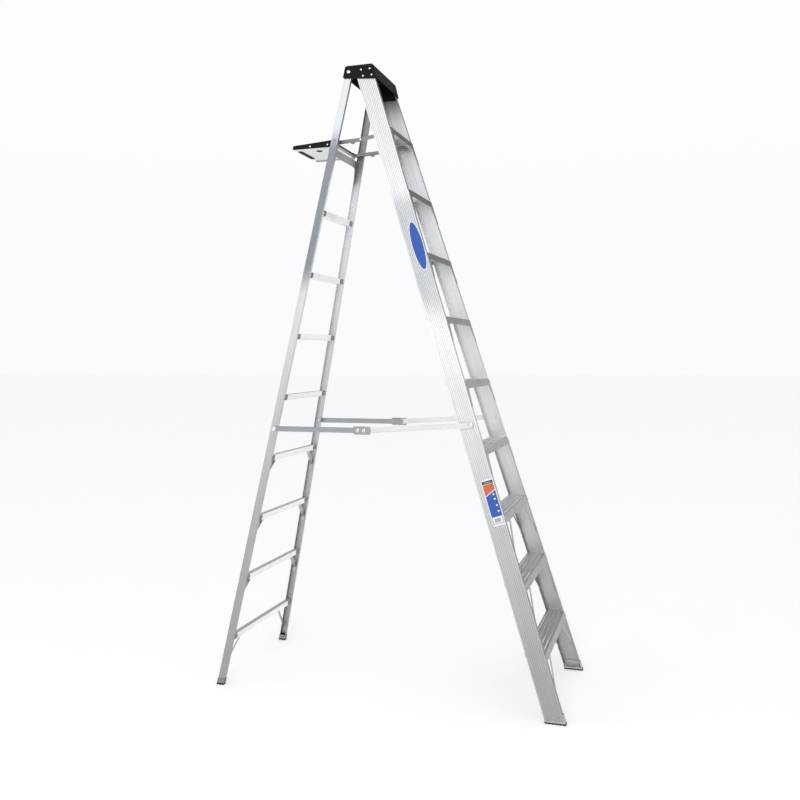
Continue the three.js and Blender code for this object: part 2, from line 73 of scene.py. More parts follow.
FRONT_DEPTH = 84 * MM
FRONT_FLANGE = 27 * MM
GROOVE_PITCH = 8.4 * MM
REAR_HALF_DEPTH = 17 * MM
BAR_HALF_DEPTH = 13.4 * MM

FRONT_LOW, FRONT_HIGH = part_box("front_rail_left")
REAR_LOW, REAR_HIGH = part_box("rear_rail_left")
FRONT_RISE = FRONT_HIGH.z - FRONT_LOW.z
FRONT_SLOPE = (FRONT_HIGH.y - FRONT_LOW.y - FRONT_DEPTH) / FRONT_RISE
FLARE = (FRONT_HIGH.x - FRONT_FLANGE - FRONT_LOW.x) / FRONT_RISE
REAR_SLOPE = (REAR_HIGH.y - REAR_LOW.y - 2 * REAR_HALF_DEPTH) / (REAR_HIGH.z - REAR_LOW.z)
FRONT_LEAN = math.atan(FRONT_SLOPE)
RAIL_FACE = -FRONT_LOW.x + FLARE * FRONT_LOW.z


def half_width(z):
    """Half of the outside width between the rails' webs."""
    return -FRONT_LOW.x - FLARE * (z - FRONT_LOW.z)


def front_edge(z):
    """The front edge of the front rails."""
    return FRONT_LOW.y + FRONT_SLOPE * (z - FRONT_LOW.z)


def rear_middle(z):
    """The middle of the rear rails."""
    return REAR_HIGH.y - REAR_HALF_DEPTH - REAR_SLOPE * (z - REAR_LOW.z)


def on_front(side):
    """Placement on a front rail: u inwards from its outer face, v behind its front edge."""
    return lambda u, v, z: Vector((side * (half_width(z) - u), front_edge(z) + v, z))


def on_rear(side):
    """Placement on a rear rail: u inwards from its outer face, v behind its middle."""
    return lambda u, v, z: Vector((side * (half_width(z) - u), rear_middle(z) + v, z))


def on_web(side, v, z):
    """Placement on a front rail's outer face: c backwards across it, t outwards, s up along it."""
    sine, cosine = math.sin(FRONT_LEAN), math.cos(FRONT_LEAN)

    def place(c, t, s):
        height = z + s * cosine - c * sine
        y = front_edge(z) + v + c * cosine + s * sine
        return Vector((side * (half_width(height) + t), y, height))

    return place


def middle_of(node):
    """The middle of a node's box."""
    low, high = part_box(node)
    return (low + high) / 2


def outer_face(node):
    """How far a node's box reaches from the middle plane."""
    low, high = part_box(node)
    return max(abs(low.x), abs(high.x))


# ---- solids -----------------------------------------------------------------------------------

RIVET_SIDES = 20
RINGED_RIVET_SIDES = 28
DOME_STEPS = 5
RIVET_SUNK = 0.3
RIVET_EDGE = 0.15
RINGED_RIVET_PROFILE = (
    (-0.2, 1.55), (0.22, 1.55), (0.32, 1.45), (0.34, 1.02), (0.70, 1.0),
    (0.95, 0.86), (1.0, 0.68), (0.92, 0.5), (0.55, 0.42), (0.5, 0.1),
)


def wrap(bm, one, two):
    """Four-sided faces between two loops of vertices."""
    count = len(one)
    for i in range(count):
        j = (i + 1) % count
        bm.faces.new((one[i], one[j], two[j], two[i]))


def loft(bm, rings):
    """A closed solid through rings of points, with a flat face on the first and the last."""
    loops = [[bm.verts.new(point) for point in ring] for ring in rings]
    bm.faces.new(loops[0])
    bm.faces.new(loops[-1])
    for one, two in zip(loops, loops[1:]):
        wrap(bm, one, two)


def prism(bm, outline, low, high, place):
    """A closed prism: outline (u, z) points, from v = low to v = high."""
    loft(bm, [[place(u, v, z) for u, z in outline] for v in (low, high)])


def slab(bm, outline, low, high, place):
    """A closed slab: outline (v, z) points, from u = low to u = high."""
    loft(bm, [[place(u, v, z) for v, z in outline] for u in (low, high)])


def lathe(bm, centre, axis, profile, sides):
    """A turned solid: (distance along the axis, radius) from its base to its tip."""
    turn = Vector((0, 0, 1)).rotation_difference(Vector(axis).normalized()).to_matrix()
    angles = [2 * math.pi * i / sides for i in range(sides)]
    loft(bm, [
        [centre + turn @ Vector((radius * math.cos(angle), radius * math.sin(angle), height))
         for angle in angles]
        for height, radius in profile
    ])


def rivet(bm, centre, axis, radius, height):
    """A domed rivet head standing on a surface, sunk a little into it."""
    profile = [(-RIVET_SUNK * height, radius), (RIVET_EDGE * height, radius)]
    for i in range(1, DOME_STEPS + 1):
        angle = math.pi / 2 * i / (DOME_STEPS + 0.5)
        rise = RIVET_EDGE + (1 - RIVET_EDGE) * math.sin(angle)
        profile.append((height * rise, radius * math.cos(angle)))
    lathe(bm, centre, axis, profile, RIVET_SIDES)


def ringed_rivet(bm, centre, axis, radius, height):
    """A pivot rivet: a flat washer under a rolled rim with a hollow middle."""
    profile = [(along * height, out * radius) for along, out in RINGED_RIVET_PROFILE]
    lathe(bm, centre, axis, profile, RINGED_RIVET_SIDES)


# ---- pieces -----------------------------------------------------------------------------------

EDGE_SEGMENTS = 2
EDGE_ANGLE = math.radians(32)
WELD_DISTANCE = 2e-6
FLAT_ANGLE = math.radians(0.6)


def settle(piece):
    """Applies a piece's modifiers to its mesh."""
    graph = bpy.context.evaluated_depsgraph_get()
    mesh = bpy.data.meshes.new_from_object(piece.evaluated_get(graph))
    piece.modifiers.clear()
    piece.data = mesh


def rounded(piece, bevel):
    """Breaks the sharp edges and keeps the flat faces flat in the shading."""
    edge = piece.modifiers.new("edge", "BEVEL")
    edge.width = bevel
    edge.segments = EDGE_SEGMENTS
    edge.limit_method = "ANGLE"
    edge.angle_limit = EDGE_ANGLE
    edge.use_clamp_overlap = False
    flat = piece.modifiers.new("flat", "WEIGHTED_NORMAL")
    flat.keep_sharp = True
    settle(piece)


def piece_from(bm, name, material, body, slot):
    """A new piece from a finished bmesh, riding on a body."""
    bmesh.ops.recalc_face_normals(bm, faces=bm.faces[:])
    mesh = bpy.data.meshes.new(name)
    bm.to_mesh(mesh)
    bm.free()
    for polygon in mesh.polygons:
        polygon.use_smooth = True
    mesh.materials.append(material)
    piece = bpy.data.objects.new(name, mesh)
    bpy.context.scene.collection.objects.link(piece)
    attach(piece, body)
    return piece


def formed(node, suffix, material, slot, bevel):
    """A CAD node remade with broken edges, riding on the node's own body."""
    bm = bmesh.new()
    bm.from_mesh(NODES[node].data)
    bmesh.ops.remove_doubles(bm, verts=bm.verts[:], dist=WELD_DISTANCE)
    bmesh.ops.dissolve_limit(bm, angle_limit=FLAT_ANGLE, verts=bm.verts[:], edges=bm.edges[:])
    piece = piece_from(bm, f"{node}_{suffix}", material, NODES[node]["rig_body"], slot)
    rounded(piece, bevel)
    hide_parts(node)


# ---- node trees -------------------------------------------------------------------------------

# How squarely a face looks forwards, as the cosine of its angle, where it begins to count.
FORWARDS_FADE = (0.5, 0.8)


class Nodes:
    """Writes the nodes of one tree."""

    def __init__(self, tree):
        self.tree = tree

    def fill(self, node, inputs):
        """Links or sets a node's inputs."""
        for key, value in inputs.items():
            if isinstance(value, bpy.types.NodeSocket):
                self.tree.links.new(value, node.inputs[key])
            else:
                node.inputs[key].default_value = value

    def add(self, kind, inputs=None, **settings):
        """A new node with its settings and inputs."""
        node = self.tree.nodes.new(kind)
        for key, value in settings.items():
            setattr(node, key, value)
        self.fill(node, inputs or {})
        return node

    def math(self, operation, a, b=0.0, c=0.0):
        """The result of one arithmetic operation."""
        node = self.add("ShaderNodeMath", {0: a, 1: b, 2: c}, operation=operation)
        return node.outputs[0]

    def times(self, a, b):
        """A product."""
        return self.math("MULTIPLY", a, b)

    def axes(self, vector):
        """A vector's X, Y and Z."""
        outputs = self.add("ShaderNodeSeparateXYZ", {0: vector}).outputs
        return outputs[0], outputs[1], outputs[2]

    def vector(self, x, y, z):
        """A vector from its X, Y and Z."""
        return self.add("ShaderNodeCombineXYZ", {0: x, 1: y, 2: z}).outputs[0]

    def scaled(self, vector, x, y, z):
        """A vector with each axis scaled."""
        return self.add("ShaderNodeVectorMath", {0: vector, 1: (x, y, z)},
                        operation="MULTIPLY").outputs[0]

    def noise(self, vector, scale, detail, roughness):
        """A noise of 0 to 1, about 0.5."""
        return self.add("ShaderNodeTexNoise", {
            "Vector": vector, "Scale": scale, "Detail": detail, "Roughness": roughness,
        }).outputs["Fac"]

    def spread(self, value, low, high, to_low=0.0, to_high=1.0):
        """Maps low..high to to_low..to_high, with smooth ends."""
        return self.add("ShaderNodeMapRange", {
            0: value, 1: low, 2: high, 3: to_low, 4: to_high,
        }, interpolation_type="SMOOTHSTEP").outputs[0]

    def mix(self, amount, a, b):
        """Colour a, turned into b by an amount of 0 to 1."""
        node = self.add("ShaderNodeMix", {0: amount}, data_type="RGBA")
        self.fill(node, {6: a, 7: b})
        return node.outputs[2]


class Finish(Nodes):
    """Writes the nodes of one material."""

    def __init__(self, name, metallic, roughness):
        self.material = bpy.data.materials.new(name)
        self.material.use_nodes = True
        super().__init__(self.material.node_tree)
        self.surface = self.tree.nodes["Principled BSDF"]
        self.surface.inputs["Metallic"].default_value = metallic
        self.surface.inputs["Roughness"].default_value = roughness

    def place(self):
        """The object's own coordinates."""
        return self.add("ShaderNodeTexCoord").outputs["Object"]

    def height(self):
        """The height above the floor at rest."""
        return self.axes(self.place())[2]

    def along(self, way):
        """Coordinates whose Z runs lengthwise: up a front or rear rail, or along an axis."""
        x, y, z = self.axes(self.place())
        if way == "x":
            return self.vector(z, y, x)
        if way == "y":
            return self.vector(x, z, y)
        slope = {"front": -FRONT_SLOPE, "rear": REAR_SLOPE, "z": 0.0}[way]
        width = self.math("MULTIPLY_ADD", z, FLARE, self.math("ABSOLUTE", x))
        depth = self.math("MULTIPLY_ADD", z, slope, y)
        return self.vector(width, depth, z)

    def forwards(self):
        """One where the surface looks forwards, nothing where it looks elsewhere."""
        normal = self.add("ShaderNodeNewGeometry").outputs["Normal"]
        return self.spread(self.times(self.axes(normal)[1], -1.0), *FORWARDS_FADE)

    def set(self, socket, value):
        """Links a value to one of the surface's sockets."""
        self.tree.links.new(value, self.surface.inputs[socket])

    def bump(self, height, strength, distance):
        """Relief from a height of 0 to 1."""
        node = self.add("ShaderNodeBump", {
            "Strength": strength, "Distance": distance, "Height": height})
        self.set("Normal", node.outputs[0])


def grey(level, tint=0.0):
    """A near-neutral colour, leaning to blue where tint is positive."""
    return (level * (1 - tint), level, level * (1 + tint), 1)


# ---- aluminium --------------------------------------------------------------------------------

# Noise scales, and how far each is drawn out along the metal, with the depth of the die lines.
DIE_LINES, DIE_LINES_DRAWN, DIE_LINE_DEPTH = 520, 0.004, 0.25 * MM
BROAD_LINES, BROAD_LINES_DRAWN = 60, 0.03
SCRATCHES, SCRATCHES_DRAWN = 210, 0.02
PATCHES = 7.0
APRON_SOIL = 34.0
DIRT_SPECKS = 90.0

# How much each kind of mark shows, and the brightest that a scratch can be.
BROAD_LINES_SHOW = 0.5
PATCHES_SHOW = 0.35
SCRATCHES_SHOW = 0.45
BRIGHTEST = 0.96

# How far out a rail's outer face begins, and how far behind its edge the grooves start and stop.
WEB_INSIDE = RAIL_FACE - 1.9 * MM
WEB_OUTSIDE = RAIL_FACE - 1.4 * MM
GROOVES_START = (3 * MM, 5 * MM)
GROOVES_STOP = (79 * MM, 81 * MM)

# Heights over which an effect fades.
BAND_START_FADE = 0.08
BAND_STOP_FADE = 0.06
FLANGE_FADE = (0.8, 1.3)
LOW_FADE_FOOT = 0.1
DIRT_FADE = (0.02, 0.5)
DIRT_COLOUR = (0.30, 0.29, 0.27, 1)


class Aluminium(Finish):
    """Bare aluminium: die lines along its length, dull patches, scratches and handling marks, and
    the painted shade, painted shadow and painted dark reflection that some of its methods add.
    """

    def __init__(self, name, level, way, roughness, tint, streak):
        super().__init__(name, 1.0, roughness)
        self.level = level
        self.roughness = roughness
        run = self.along(way)
        self.across, self.behind, _ = self.axes(run)
        self.fine = self.noise(self.scaled(run, 1, 1, DIE_LINES_DRAWN), DIE_LINES, 3.0, 0.65)
        self.patches = self.noise(self.place(), PATCHES, 5.0, 0.6)
        broad = self.noise(self.scaled(run, 1, 1, BROAD_LINES_DRAWN), BROAD_LINES, 2.0, 0.5)
        marks = self.noise(self.scaled(run, 1, 1, SCRATCHES_DRAWN), SCRATCHES, 2.0, 0.4)
        lines = self.spread(self.fine, 0.3, 0.7)
        broad = self.times(self.spread(broad, 0.35, 0.7), BROAD_LINES_SHOW)
        patches = self.times(self.spread(self.patches, 0.45, 0.72), PATCHES_SHOW)
        marks = self.times(self.spread(marks, 0.66, 0.72), SCRATCHES_SHOW)
        self.tone = self.mix(lines, grey(level * (1 - streak), tint),
                             grey(level * (1 + streak * 0.6), tint))
        self.lay(broad, grey(level * 0.90, tint * 1.6))
        self.lay(patches, grey(level * 0.80, tint * 0.5))
        self.lay(marks, grey(min(level * 1.3, BRIGHTEST)))

    def lay(self, amount, colour):
        """Turns the tone into a colour by an amount of 0 to 1."""
        self.tone = self.mix(amount, self.tone, colour)

    def outside(self):
        """One on the outer face of a rail's web, nothing inside the rail."""
        return self.spread(self.across, WEB_INSIDE, WEB_OUTSIDE)

    def paint_groove_shade(self, amount):
        """Paints shade into the grooves of a front rail's outer face, darkening them."""
        v = self.math("SUBTRACT", self.behind, FRONT_LOW.y - FRONT_SLOPE * FRONT_LOW.z)
        wave = self.math("COSINE", self.times(v, 2 * math.pi / GROOVE_PITCH))
        line = self.times(self.spread(wave, 0.2, 0.9), self.spread(v, *GROOVES_START))
        line = self.times(line, self.spread(v, *GROOVES_STOP, 1.0, 0.0))
        line = self.times(line, self.outside())
        self.lay(self.times(line, amount), grey(self.level * 0.45))

    def paint_shade_inside(self, start, stop, amount):
        """Paints shade and a dark reflection on the inside of a rail under the cap or shelf,
        fading in from one height to another.
        """
        inside = self.math("SUBTRACT", 1.0, self.outside())
        fade = self.spread(self.height(), start, stop, 0.0, amount)
        self.lay(self.times(inside, fade), grey(self.level * 0.15))

    def paint_reflection_band(self, start, stop, amount):
        """Paints a dark bluish reflection on a rail's outer face between two heights."""
        height = self.height()
        rise = self.spread(height, start - BAND_START_FADE, start + BAND_START_FADE, 0.0, amount)
        fall = self.spread(height, stop - BAND_STOP_FADE, stop + BAND_STOP_FADE, 1.0, 0.0)
        within = self.times(self.outside(), self.times(rise, fall))
        self.lay(within, grey(self.level * 0.18, 0.16))

    def paint_flange_shadow(self, amount):
        """Paints shadow on the lowest of the faces that look forwards, darkening them and taking
        off their shine.
        """
        shadowed = self.times(self.forwards(), self.spread(self.height(), *FLANGE_FADE, amount, 0.0))
        self.lay(shadowed, grey(self.level * 0.3))
        self.set("Metallic", self.math("SUBTRACT", 1.0, shadowed))

    def shade_and_soil_apron(self, amount):
        """Paints shade on the faces that look forwards, mottled by patches of soil."""
        soil = self.noise(self.place(), APRON_SOIL, 5.0, 0.65)
        soiled_shade = self.spread(soil, 0.35, 0.7, 0.75, 1.0)
        self.lay(self.times(self.times(self.forwards(), soiled_shade), amount),
                 grey(self.level * 0.22, 0.02))

    def paint_shade_towards_floor(self, low, reach):
        """Paints shade on everything below the height of its reach, darkening to low of its level
        at the floor.
        """
        self.lay(self.spread(self.height(), LOW_FADE_FOOT, reach, 1.0 - low, 0.0),
                 grey(self.level * 0.1))

    def spatter_foot(self, amount):
        """Specks of dried dirt near the floor."""
        near_floor = self.spread(self.height(), *DIRT_FADE, 1.0, 0.0)
        specks = self.spread(self.noise(self.place(), DIRT_SPECKS, 6.0, 0.7), 0.5, 0.75)
        grime = self.times(near_floor, self.math("MULTIPLY_ADD", specks, 0.6, 0.35))
        self.lay(self.times(grime, amount), DIRT_COLOUR)

    def finished(self):
        """The material, with its tone, gloss and relief in place."""
        dull = self.math("MULTIPLY_ADD", self.patches, 0.16, self.roughness - 0.10)
        self.set("Base Color", self.tone)
        self.set("Roughness", self.math("MULTIPLY_ADD", self.fine, 0.10, dull))
        self.bump(self.fine, 0.35, DIE_LINE_DEPTH)
        return self.material


def aluminium(name, level, way, roughness, tint=0.01, streak=0.10, grooves=0.0, shade=None,
              band=None, flange=0.0, apron=0.0, low=1.0, reach=1.25, dirt=0.0):
    """A material of bare aluminium with each of the effects that is given an amount."""
    metal = Aluminium(name, level, way, roughness, tint, streak)
    if grooves:
        metal.paint_groove_shade(grooves)
    if shade:
        metal.paint_shade_inside(*shade)
    if band:
        metal.paint_reflection_band(*band)
    if flange:
        metal.paint_flange_shadow(flange)
    if apron:
        metal.shade_and_soil_apron(apron)
    if low < 1.0:
        metal.paint_shade_towards_floor(low, reach)
    if dirt:
        metal.spatter_foot(dirt)
    return metal.finished()


# ---- other materials --------------------------------------------------------------------------

TRIM_BLACK = (0.006, 0.006, 0.006, 1)
CAP_BLACK = (0.006, 0.006, 0.007, 1)
SOLE_BLACK = (0.02, 0.02, 0.02, 1)
PAD_GREY = (0.045, 0.045, 0.048, 1)
BOOT_GREY = (0.22, 0.225, 0.23, 1)
PLASTIC_SPECULAR = 0.12

# Noise scales, and the depth of each relief.
PLASTIC_GRAIN, RUBBER_GRAIN, GRAIN_DEPTH = 1400, 700, 0.25 * MM
DUST, RUBBED_MARKS = 24, 130
PEBBLES, PEBBLE_DEPTH, SCUFFS = 900, 0.2 * MM, 45
PITS, PIT_DEPTH, HAZE = 1800, 0.08 * MM, 260
MOTTLE, MOTTLE_DEPTH = 160, 0.05 * MM


def cast_alloy(name, level, roughness):
    """Die-cast alloy: a faint pebbled skin with scuffs and dirt in its low spots."""
    f = Finish(name, 1.0, roughness)
    pebbles = f.noise(f.place(), PEBBLES, 2.0, 0.5)
    scuffs = f.noise(f.scaled(f.place(), 1, 1, 4), SCUFFS, 6.0, 0.7)
    tone = f.mix(f.spread(scuffs, 0.4, 0.7), grey(level * 0.72), grey(level * 1.05))
    f.set("Base Color", tone)
    f.set("Roughness", f.math("MULTIPLY_ADD", scuffs, 0.3, roughness - 0.15))
    f.bump(pebbles, 0.4, PEBBLE_DEPTH)
    return f.material


def moulded(name, colour, roughness, grain=PLASTIC_GRAIN, wear=0.5, sole=0.0):
    """Moulded plastic or rubber: fine spark-eroded grain, dusty patches and rubbed marks.

    Below the height of its sole it is nearly black.
    """
    f = Finish(name, 0.0, roughness)
    f.surface.inputs["Specular IOR Level"].default_value = PLASTIC_SPECULAR
    texture = f.noise(f.place(), grain, 2.0, 0.6)
    dust = f.noise(f.place(), DUST, 6.0, 0.65)
    marks = f.noise(f.scaled(f.place(), 1, 1, 0.3), RUBBED_MARKS, 5.0, 0.7)
    pale = tuple(min(1.0, channel * 2.2 + 0.03) for channel in colour[:3]) + (1,)
    tone = f.mix(f.times(f.spread(dust, 0.42, 0.75), 0.4 * wear), colour, pale)
    tone = f.mix(f.times(f.spread(marks, 0.60, 0.78), 0.5 * wear), tone, pale)
    if sole:
        tone = f.mix(f.spread(f.height(), sole - 1 * MM, sole + 1 * MM), SOLE_BLACK, tone)
    f.set("Base Color", tone)
    f.set("Roughness", f.math("MULTIPLY_ADD", dust, 0.25, roughness - 0.12))
    f.bump(texture, 0.45, GRAIN_DEPTH)
    return f.material


def steel(name, level, roughness):
    """Plated steel for rivets and pins: a haze of wear and tiny pits."""
    f = Finish(name, 1.0, roughness)
    pits = f.noise(f.place(), PITS, 3.0, 0.6)
    haze = f.noise(f.place(), HAZE, 3.0, 0.5)
    tone = f.mix(f.spread(haze, 0.35, 0.7), grey(level * 0.86, 0.01), grey(level, 0.01))
    f.set("Base Color", tone)
    f.set("Roughness", f.math("MULTIPLY_ADD", haze, 0.2, roughness - 0.08))
    f.bump(pits, 0.25, PIT_DEPTH)
    return f.material


def printed(name, colour):
    """A printed vinyl film: slight mottling and a soft satin surface."""
    f = Finish(name, 0.0, 0.35)
    mottle = f.noise(f.place(), MOTTLE, 4.0, 0.6)
    dark = tuple(channel * 0.86 for channel in colour[:3]) + (1,)
    f.set("Base Color", f.mix(f.spread(mottle, 0.35, 0.7), dark, colour))
    f.set("Roughness", f.math("MULTIPLY_ADD", mottle, 0.18, 0.26))
    f.bump(mottle, 0.2, MOTTLE_DEPTH)
    return f.material


# The shade, grooves, band, flange, apron and low settings below paint shade, shadow and dark
# reflection into the metal's colour.
FRONT_METAL = aluminium(
    "front_rail_metal", 0.80, "front", 0.40, grooves=0.42, shade=(2.70, 2.86, 0.85),
    band=(1.77, 2.28, 0.34), flange=0.85, low=0.57, reach=1.6, dirt=0.5)
TREAD_METAL = aluminium("tread_metal", 0.76, "x", 0.34, low=0.85, apron=0.68)
WORN_METAL = aluminium("worn_rib_metal", 0.95, "x", 0.30, tint=0.0, streak=0.16)
BRACE_METAL = aluminium("brace_metal", 0.52, "z", 0.42)
# The bar clamps' metal is made dark as painted shade, for the shadow they sit in by the rails.
SHADED_CLAMP_METAL = aluminium("bar_clamp_shaded_metal", 0.26, "x", 0.42)
REAR_METAL = aluminium(
    "rear_rail_metal", 0.80, "rear", 0.40, tint=0.02, shade=(2.36, 2.52, 0.66),
    band=(1.92, 2.58, 0.74), low=0.46, reach=2.4, dirt=0.4)
SHELF_BAR_METAL = aluminium("shelf_bar_metal", 0.42, "x", 0.42)
BAR_METAL = aluminium("rear_bar_metal", 0.94, "x", 0.36, tint=0.02)
FRONT_ARM_METAL = aluminium("spreader_front_metal", 0.80, "y", 0.34, tint=0.0)
REAR_ARM_METAL = aluminium("spreader_rear_metal", 0.40, "y", 0.42, tint=0.05)
PLATE_METAL = aluminium("elbow_plate_metal", 0.42, "y", 0.40)
SHELF_METAL = aluminium("shelf_metal", 0.82, "y", 0.40, tint=0.02)
LINK_METAL = aluminium("shelf_link_metal", 0.27, "y", 0.42)
SHOE_METAL = cast_alloy("shoe_metal", 0.62, 0.5)
PIN_STEEL = steel("pin_steel", 0.86, 0.22)
DULL_STEEL = steel("dull_rivet_steel", 0.38, 0.42)
CAP_PLASTIC = moulded("cap_plastic", CAP_BLACK, 0.42, wear=0.3)
TRIM_PLASTIC = moulded("trim_plastic", TRIM_BLACK, 0.40, wear=0.3)
PAD_RUBBER = moulded("pad_rubber", PAD_GREY, 0.75, grain=RUBBER_GRAIN)
BOOT_RUBBER = moulded("boot_rubber", BOOT_GREY, 0.70, grain=RUBBER_GRAIN, sole=9 * MM)

# ---- CAD nodes with broken edges --------------------------------------------------------------

# Each row: node, what the new piece's name adds, material, slot, and bevel in millimetres.
SIDE_NODES = (
    ("front_rail", "extrusion", FRONT_METAL, "front_rail_aluminium", 0.35),
    ("front_shoe", "casting", SHOE_METAL, "shoe_alloy", 0.7),
    ("front_shoe_pad", "tread", PAD_RUBBER, "shoe_rubber", 1.0),
    ("rear_rail", "extrusion", REAR_METAL, "rear_rail_aluminium", 0.6),
    ("rear_foot", "boot", BOOT_RUBBER, "foot_rubber", 1.2),
    ("rear_brace", "strap", BRACE_METAL, "brace_aluminium", 0.4),
    ("spreader_front_arm", "bar", FRONT_ARM_METAL, "spreader_aluminium", 0.5),
    ("spreader_rear_arm", "bar", REAR_ARM_METAL, "spreader_aluminium", 0.5),
    ("spreader_elbow", "plate", PLATE_METAL, "spreader_aluminium", 0.5),
    ("shelf_arm", "bar", LINK_METAL, "shelf_aluminium", 0.5),
    ("shelf_link", "bar", LINK_METAL, "shelf_aluminium", 0.4),
    ("shelf_side_trim", "moulding", TRIM_PLASTIC, "trim_plastic", 0.5),
    ("cap_pin", "turned", PIN_STEEL, "rivet_steel", 0.35),
    ("spreader_front_pin", "turned", PIN_STEEL, "rivet_steel", 0.35),
    ("spreader_rear_pin", "turned", PIN_STEEL, "rivet_steel", 0.35),
    ("shelf_pin", "turned", DULL_STEEL, "rivet_steel", 0.35),
    *((f"knee_brace_{number}", "pressing", BRACE_METAL, "brace_aluminium", 0.5)
      for number in range(1, BRACED_STEPS + 1)),
)
MIDDLE_NODES = (
    *((f"step_{number}", "tread", TREAD_METAL, "tread_aluminium", 0.5)
      for number in range(1, STEP_COUNT + 1)),
    *((f"rear_bar_{number}", "channel", BAR_METAL, "rear_bar_aluminium", 0.6)
      for number in range(1, BAR_COUNT)),
    (f"rear_bar_{BAR_COUNT}", "channel", SHELF_BAR_METAL, "rear_bar_aluminium", 0.6),
    ("top_cap", "moulding", CAP_PLASTIC, "cap_plastic", 0.8),
    ("shelf_tray", "pressing", SHELF_METAL, "shelf_aluminium", 0.6),
    ("shelf_front_trim", "moulding", TRIM_PLASTIC, "trim_plastic", 1.0),
)

for side_name in SIDES:
    for stem, suffix, material, slot, bevel in SIDE_NODES:
        formed(f"{stem}_{side_name}", suffix, material, slot, bevel * MM)
for node, suffix, material, slot, bevel in MIDDLE_NODES:
    formed(node, suffix, material, slot, bevel * MM)

# ---- step fixings -----------------------------------------------------------------------------

# A rivet's radius and height.
STEP_RIVET = (3.6 * MM, 1.7 * MM)
STRAP_RIVET = (3.6 * MM, 1.6 * MM)
FLANGE_RIVET = (3.4 * MM, 1.6 * MM)

RIB_HEIGHT = 2 * MM
APRON_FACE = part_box("step_1")[0].y - front_edge(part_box("step_1")[0].z)
REAR_APRON_FACE = FRONT_DEPTH - APRON_FACE
STEP_RIVET_DROP = 17 * MM
STEP_RIVETS_IN = (9 * MM, 20 * MM)
MIDDLE_RIVET_IN = 14 * MM
REAR_RIVET_LIFT = 4 * MM

# An outline of (inwards, upwards) points in millimetres, from the rail's face and the tread.
CORNER_STRAP = (
    (3, -24), (50, -24), (50, -31), (42, -38), (25, -106), (20, -112), (9, -112), (3, -104),
)
STRAP_SPAN = (APRON_FACE + 0.1 * MM, -0.2 * MM)
STRAP_RIVET_DROP = 98 * MM
STRAP_BEVEL = 0.4 * MM

TREAD_RIBS = 4
RIB_END = 30 * MM
WORN_HALF_WIDTHS = (2.7 * MM, 2.3 * MM)
WORN_LEVELS = (-0.1 * MM, 0.12 * MM)


def step_top(number):
    """The height of a tread between its ribs."""
    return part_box(f"step_{number}")[1].z - RIB_HEIGHT


def at_height(outline, z):
    """An outline of millimetres in metres, standing on a height."""
    return [(u * MM, z + rise * MM) for u, rise in outline]


def step_rivets(side_name, side):
    """Rivets through the step aprons and the rail flanges."""
    place = on_front(side)
    bm = bmesh.new()
    for number in range(1, STEP_COUNT + 1):
        z = step_top(number) - STEP_RIVET_DROP
        for u in STEP_RIVETS_IN:
            rivet(bm, place(u, APRON_FACE, z), (0, -1, 0), *STEP_RIVET)
        rear = place(MIDDLE_RIVET_IN, REAR_APRON_FACE, z + REAR_RIVET_LIFT)
        rivet(bm, rear, (0, 1, 0), *FLANGE_RIVET)
    piece_from(bm, f"step_rivets_{side_name}", DULL_STEEL, "front_section", "rivet_steel")


def corner_straps(side_name, side):
    """A gusset under the front corner of each unbraced step, with its rivet."""
    place = on_front(side)
    straps = bmesh.new()
    rivets = bmesh.new()
    for number in range(BRACED_STEPS + 1, STEP_COUNT + 1):
        top = step_top(number)
        prism(straps, at_height(CORNER_STRAP, top), *STRAP_SPAN, place)
        head = place(MIDDLE_RIVET_IN, APRON_FACE, top - STRAP_RIVET_DROP)
        rivet(rivets, head, (0, -1, 0), *STRAP_RIVET)
    piece = piece_from(straps, f"corner_straps_{side_name}", BRACE_METAL, "front_section",
                       "brace_aluminium")
    rounded(piece, STRAP_BEVEL)
    piece_from(rivets, f"corner_strap_rivets_{side_name}", DULL_STEEL, "front_section",
               "rivet_steel")


def worn_ribs(number):
    """The tops of a tread's ribs, polished by use."""
    top = step_top(number)
    reach = half_width(top) - RIB_END
    edge = front_edge(top)
    low, high = (top + RIB_HEIGHT + level for level in WORN_LEVELS)
    wide, narrow = WORN_HALF_WIDTHS
    bm = bmesh.new()
    for i in range(TREAD_RIBS):
        middle = (i + 0.5) * FRONT_DEPTH / TREAD_RIBS
        outline = [(middle - wide, low), (middle + wide, low),
                   (middle + narrow, high), (middle - narrow, high)]
        slab(bm, outline, -reach, reach, lambda u, v, z: Vector((u, edge + v, z)))
    piece_from(bm, f"tread_worn_ribs_{number}", WORN_METAL, "front_section", "tread_aluminium")


# ---- cap and shoe fixings ---------------------------------------------------------------------

# A rivet's radius and height, then where each stands, in millimetres: (y, z) on the cap, and
# (backwards from the rail's edge, z) on the foot.
CAP_RIVET = (4.6 * MM, 2.2 * MM)
CAP_RIVETS = ((134.8, 2883.6), (92.1, 2884.8), (124.2, 2853.8), (82.8, 2855.3))
CAP_PLATE_OUT = 4.8 * MM
SHOE_RIVET = (4.4 * MM, 1.8 * MM)
SHOE_RIVETS = ((20, 31), (60, 31))


def cap_rivets(side_name, side):
    """Four bright rivets through each side plate of the cap."""
    bm = bmesh.new()
    for y, z in CAP_RIVETS:
        centre = Vector((side * (half_width(z * MM) + CAP_PLATE_OUT), y * MM, z * MM))
        rivet(bm, centre, (side, 0, FLARE), *CAP_RIVET)
    piece_from(bm, f"cap_rivets_{side_name}", PIN_STEEL, "front_section", "rivet_steel")


def shoe_rivets(side_name, side):
    """Two rivets through each front rail's foot into its shoe."""
    bm = bmesh.new()
    for v, z in SHOE_RIVETS:
        centre = on_web(side, v * MM, z * MM)(0, 0, 0)
        rivet(bm, centre, (side, 0, FLARE), *SHOE_RIVET)
    piece_from(bm, f"shoe_rivets_{side_name}", DULL_STEEL, "front_section", "rivet_steel")


# ---- rear bar fixings -------------------------------------------------------------------------

